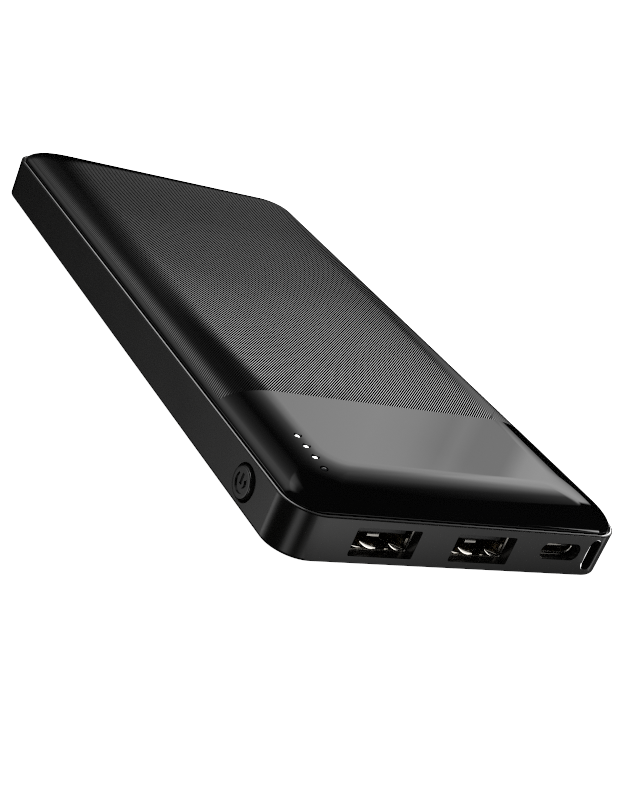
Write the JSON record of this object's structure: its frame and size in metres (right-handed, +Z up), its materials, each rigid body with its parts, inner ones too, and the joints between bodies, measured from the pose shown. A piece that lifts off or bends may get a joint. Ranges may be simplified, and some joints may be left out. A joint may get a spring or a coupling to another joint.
{
  "type": "power bank",
  "caption": "Slim pocket power bank: flat tray case with a domed, finely ribbed cover, charging sockets at one end, side power button, charge lamps and a corner strap slot.",
  "frame": {"origin": "centre of the flat underside", "axes": "+X across the width with the power button on the -X side, +Y along the length away from the sockets, +Z up through the cover"},
  "size_m": [0.0706, 0.14, 0.0122],
  "materials": {
    "case": "satin",
    "cover": "gloss, finely ribbed over the far two thirds",
    "button": "satin",
    "nylon": "moulded",
    "plated": "nickel plated",
    "contacts": "gold plated",
    "board": "solder mask over glass epoxy",
    "pouch": "satin laminate",
    "tape": "matte",
    "foam": "matte",
    "nickel": "satin",
    "lead_red": "satin",
    "lead_black": "satin",
    "led": "moulded",
    "clear": "clear",
    "chip": "moulded",
    "ferrite": "matte",
    "can": "satin",
    "screw": "zinc"
  },
  "bodies": {
    "case": {"battery_cell_lower": "pouch", "battery_cell_upper": "pouch", "battery_tape": "tape", "black_lead": "lead_black", "board_screw_1": "screw", "board_screw_2": "screw", "board_screw_3": "screw", "boost_chip": "chip", "boost_inductor": "ferrite", "bottom_case": "case", "capacitor_1": "can", "capacitor_2": "can", "cell_tab_lower_negative": "nickel", "cell_tab_lower_positive": "nickel", "cell_tab_upper_negative": "nickel", "cell_tab_upper_positive": "nickel", "charge_chip": "chip", "foam_pad": "foam", "led_1": "led", "led_2": "led", "led_3": "led", "led_4": "led", "light_pipe_1": "clear", "light_pipe_2": "clear", "light_pipe_3": "clear", "light_pipe_4": "clear", "light_pipe_holder": "nylon", "main_board": "board", "protection_board": "board", "red_lead": "lead_red", "tact_switch_body": "nylon", "tact_switch_frame": "plated", "top_cover": "cover", "usb_a_left_contact_1": "contacts", "usb_a_left_contact_2": "contacts", "usb_a_left_contact_3": "contacts", "usb_a_left_contact_4": "contacts", "usb_a_left_insert": "nylon", "usb_a_left_shell": "plated", "usb_a_right_contact_1": "contacts", "usb_a_right_contact_2": "contacts", "usb_a_right_contact_3": "contacts", "usb_a_right_contact_4": "contacts", "usb_a_right_insert": "nylon", "usb_a_right_shell": "plated", "usb_c_insert": "nylon", "usb_c_shell": "plated"},
    "button": {"power_button": "button"},
    "switch_plunger": {"tact_switch_plunger": "nylon"}
  },
  "joints": [
    {"name": "power_button_press", "type": "slide", "parent": "case", "child": "button", "axis": [1, 0, 0], "range_m": [0, 0.0003], "stiffness_N_per_m": 400},
    {"name": "switch_plunger_press", "type": "slide", "parent": "case", "child": "switch_plunger", "axis": [1, 0, 0], "range_m": [0, 0.0003]}
  ],
  "couplings": [
    {"joint": "switch_plunger_press", "follows": "power_button_press", "ratio": 1}
  ]
}
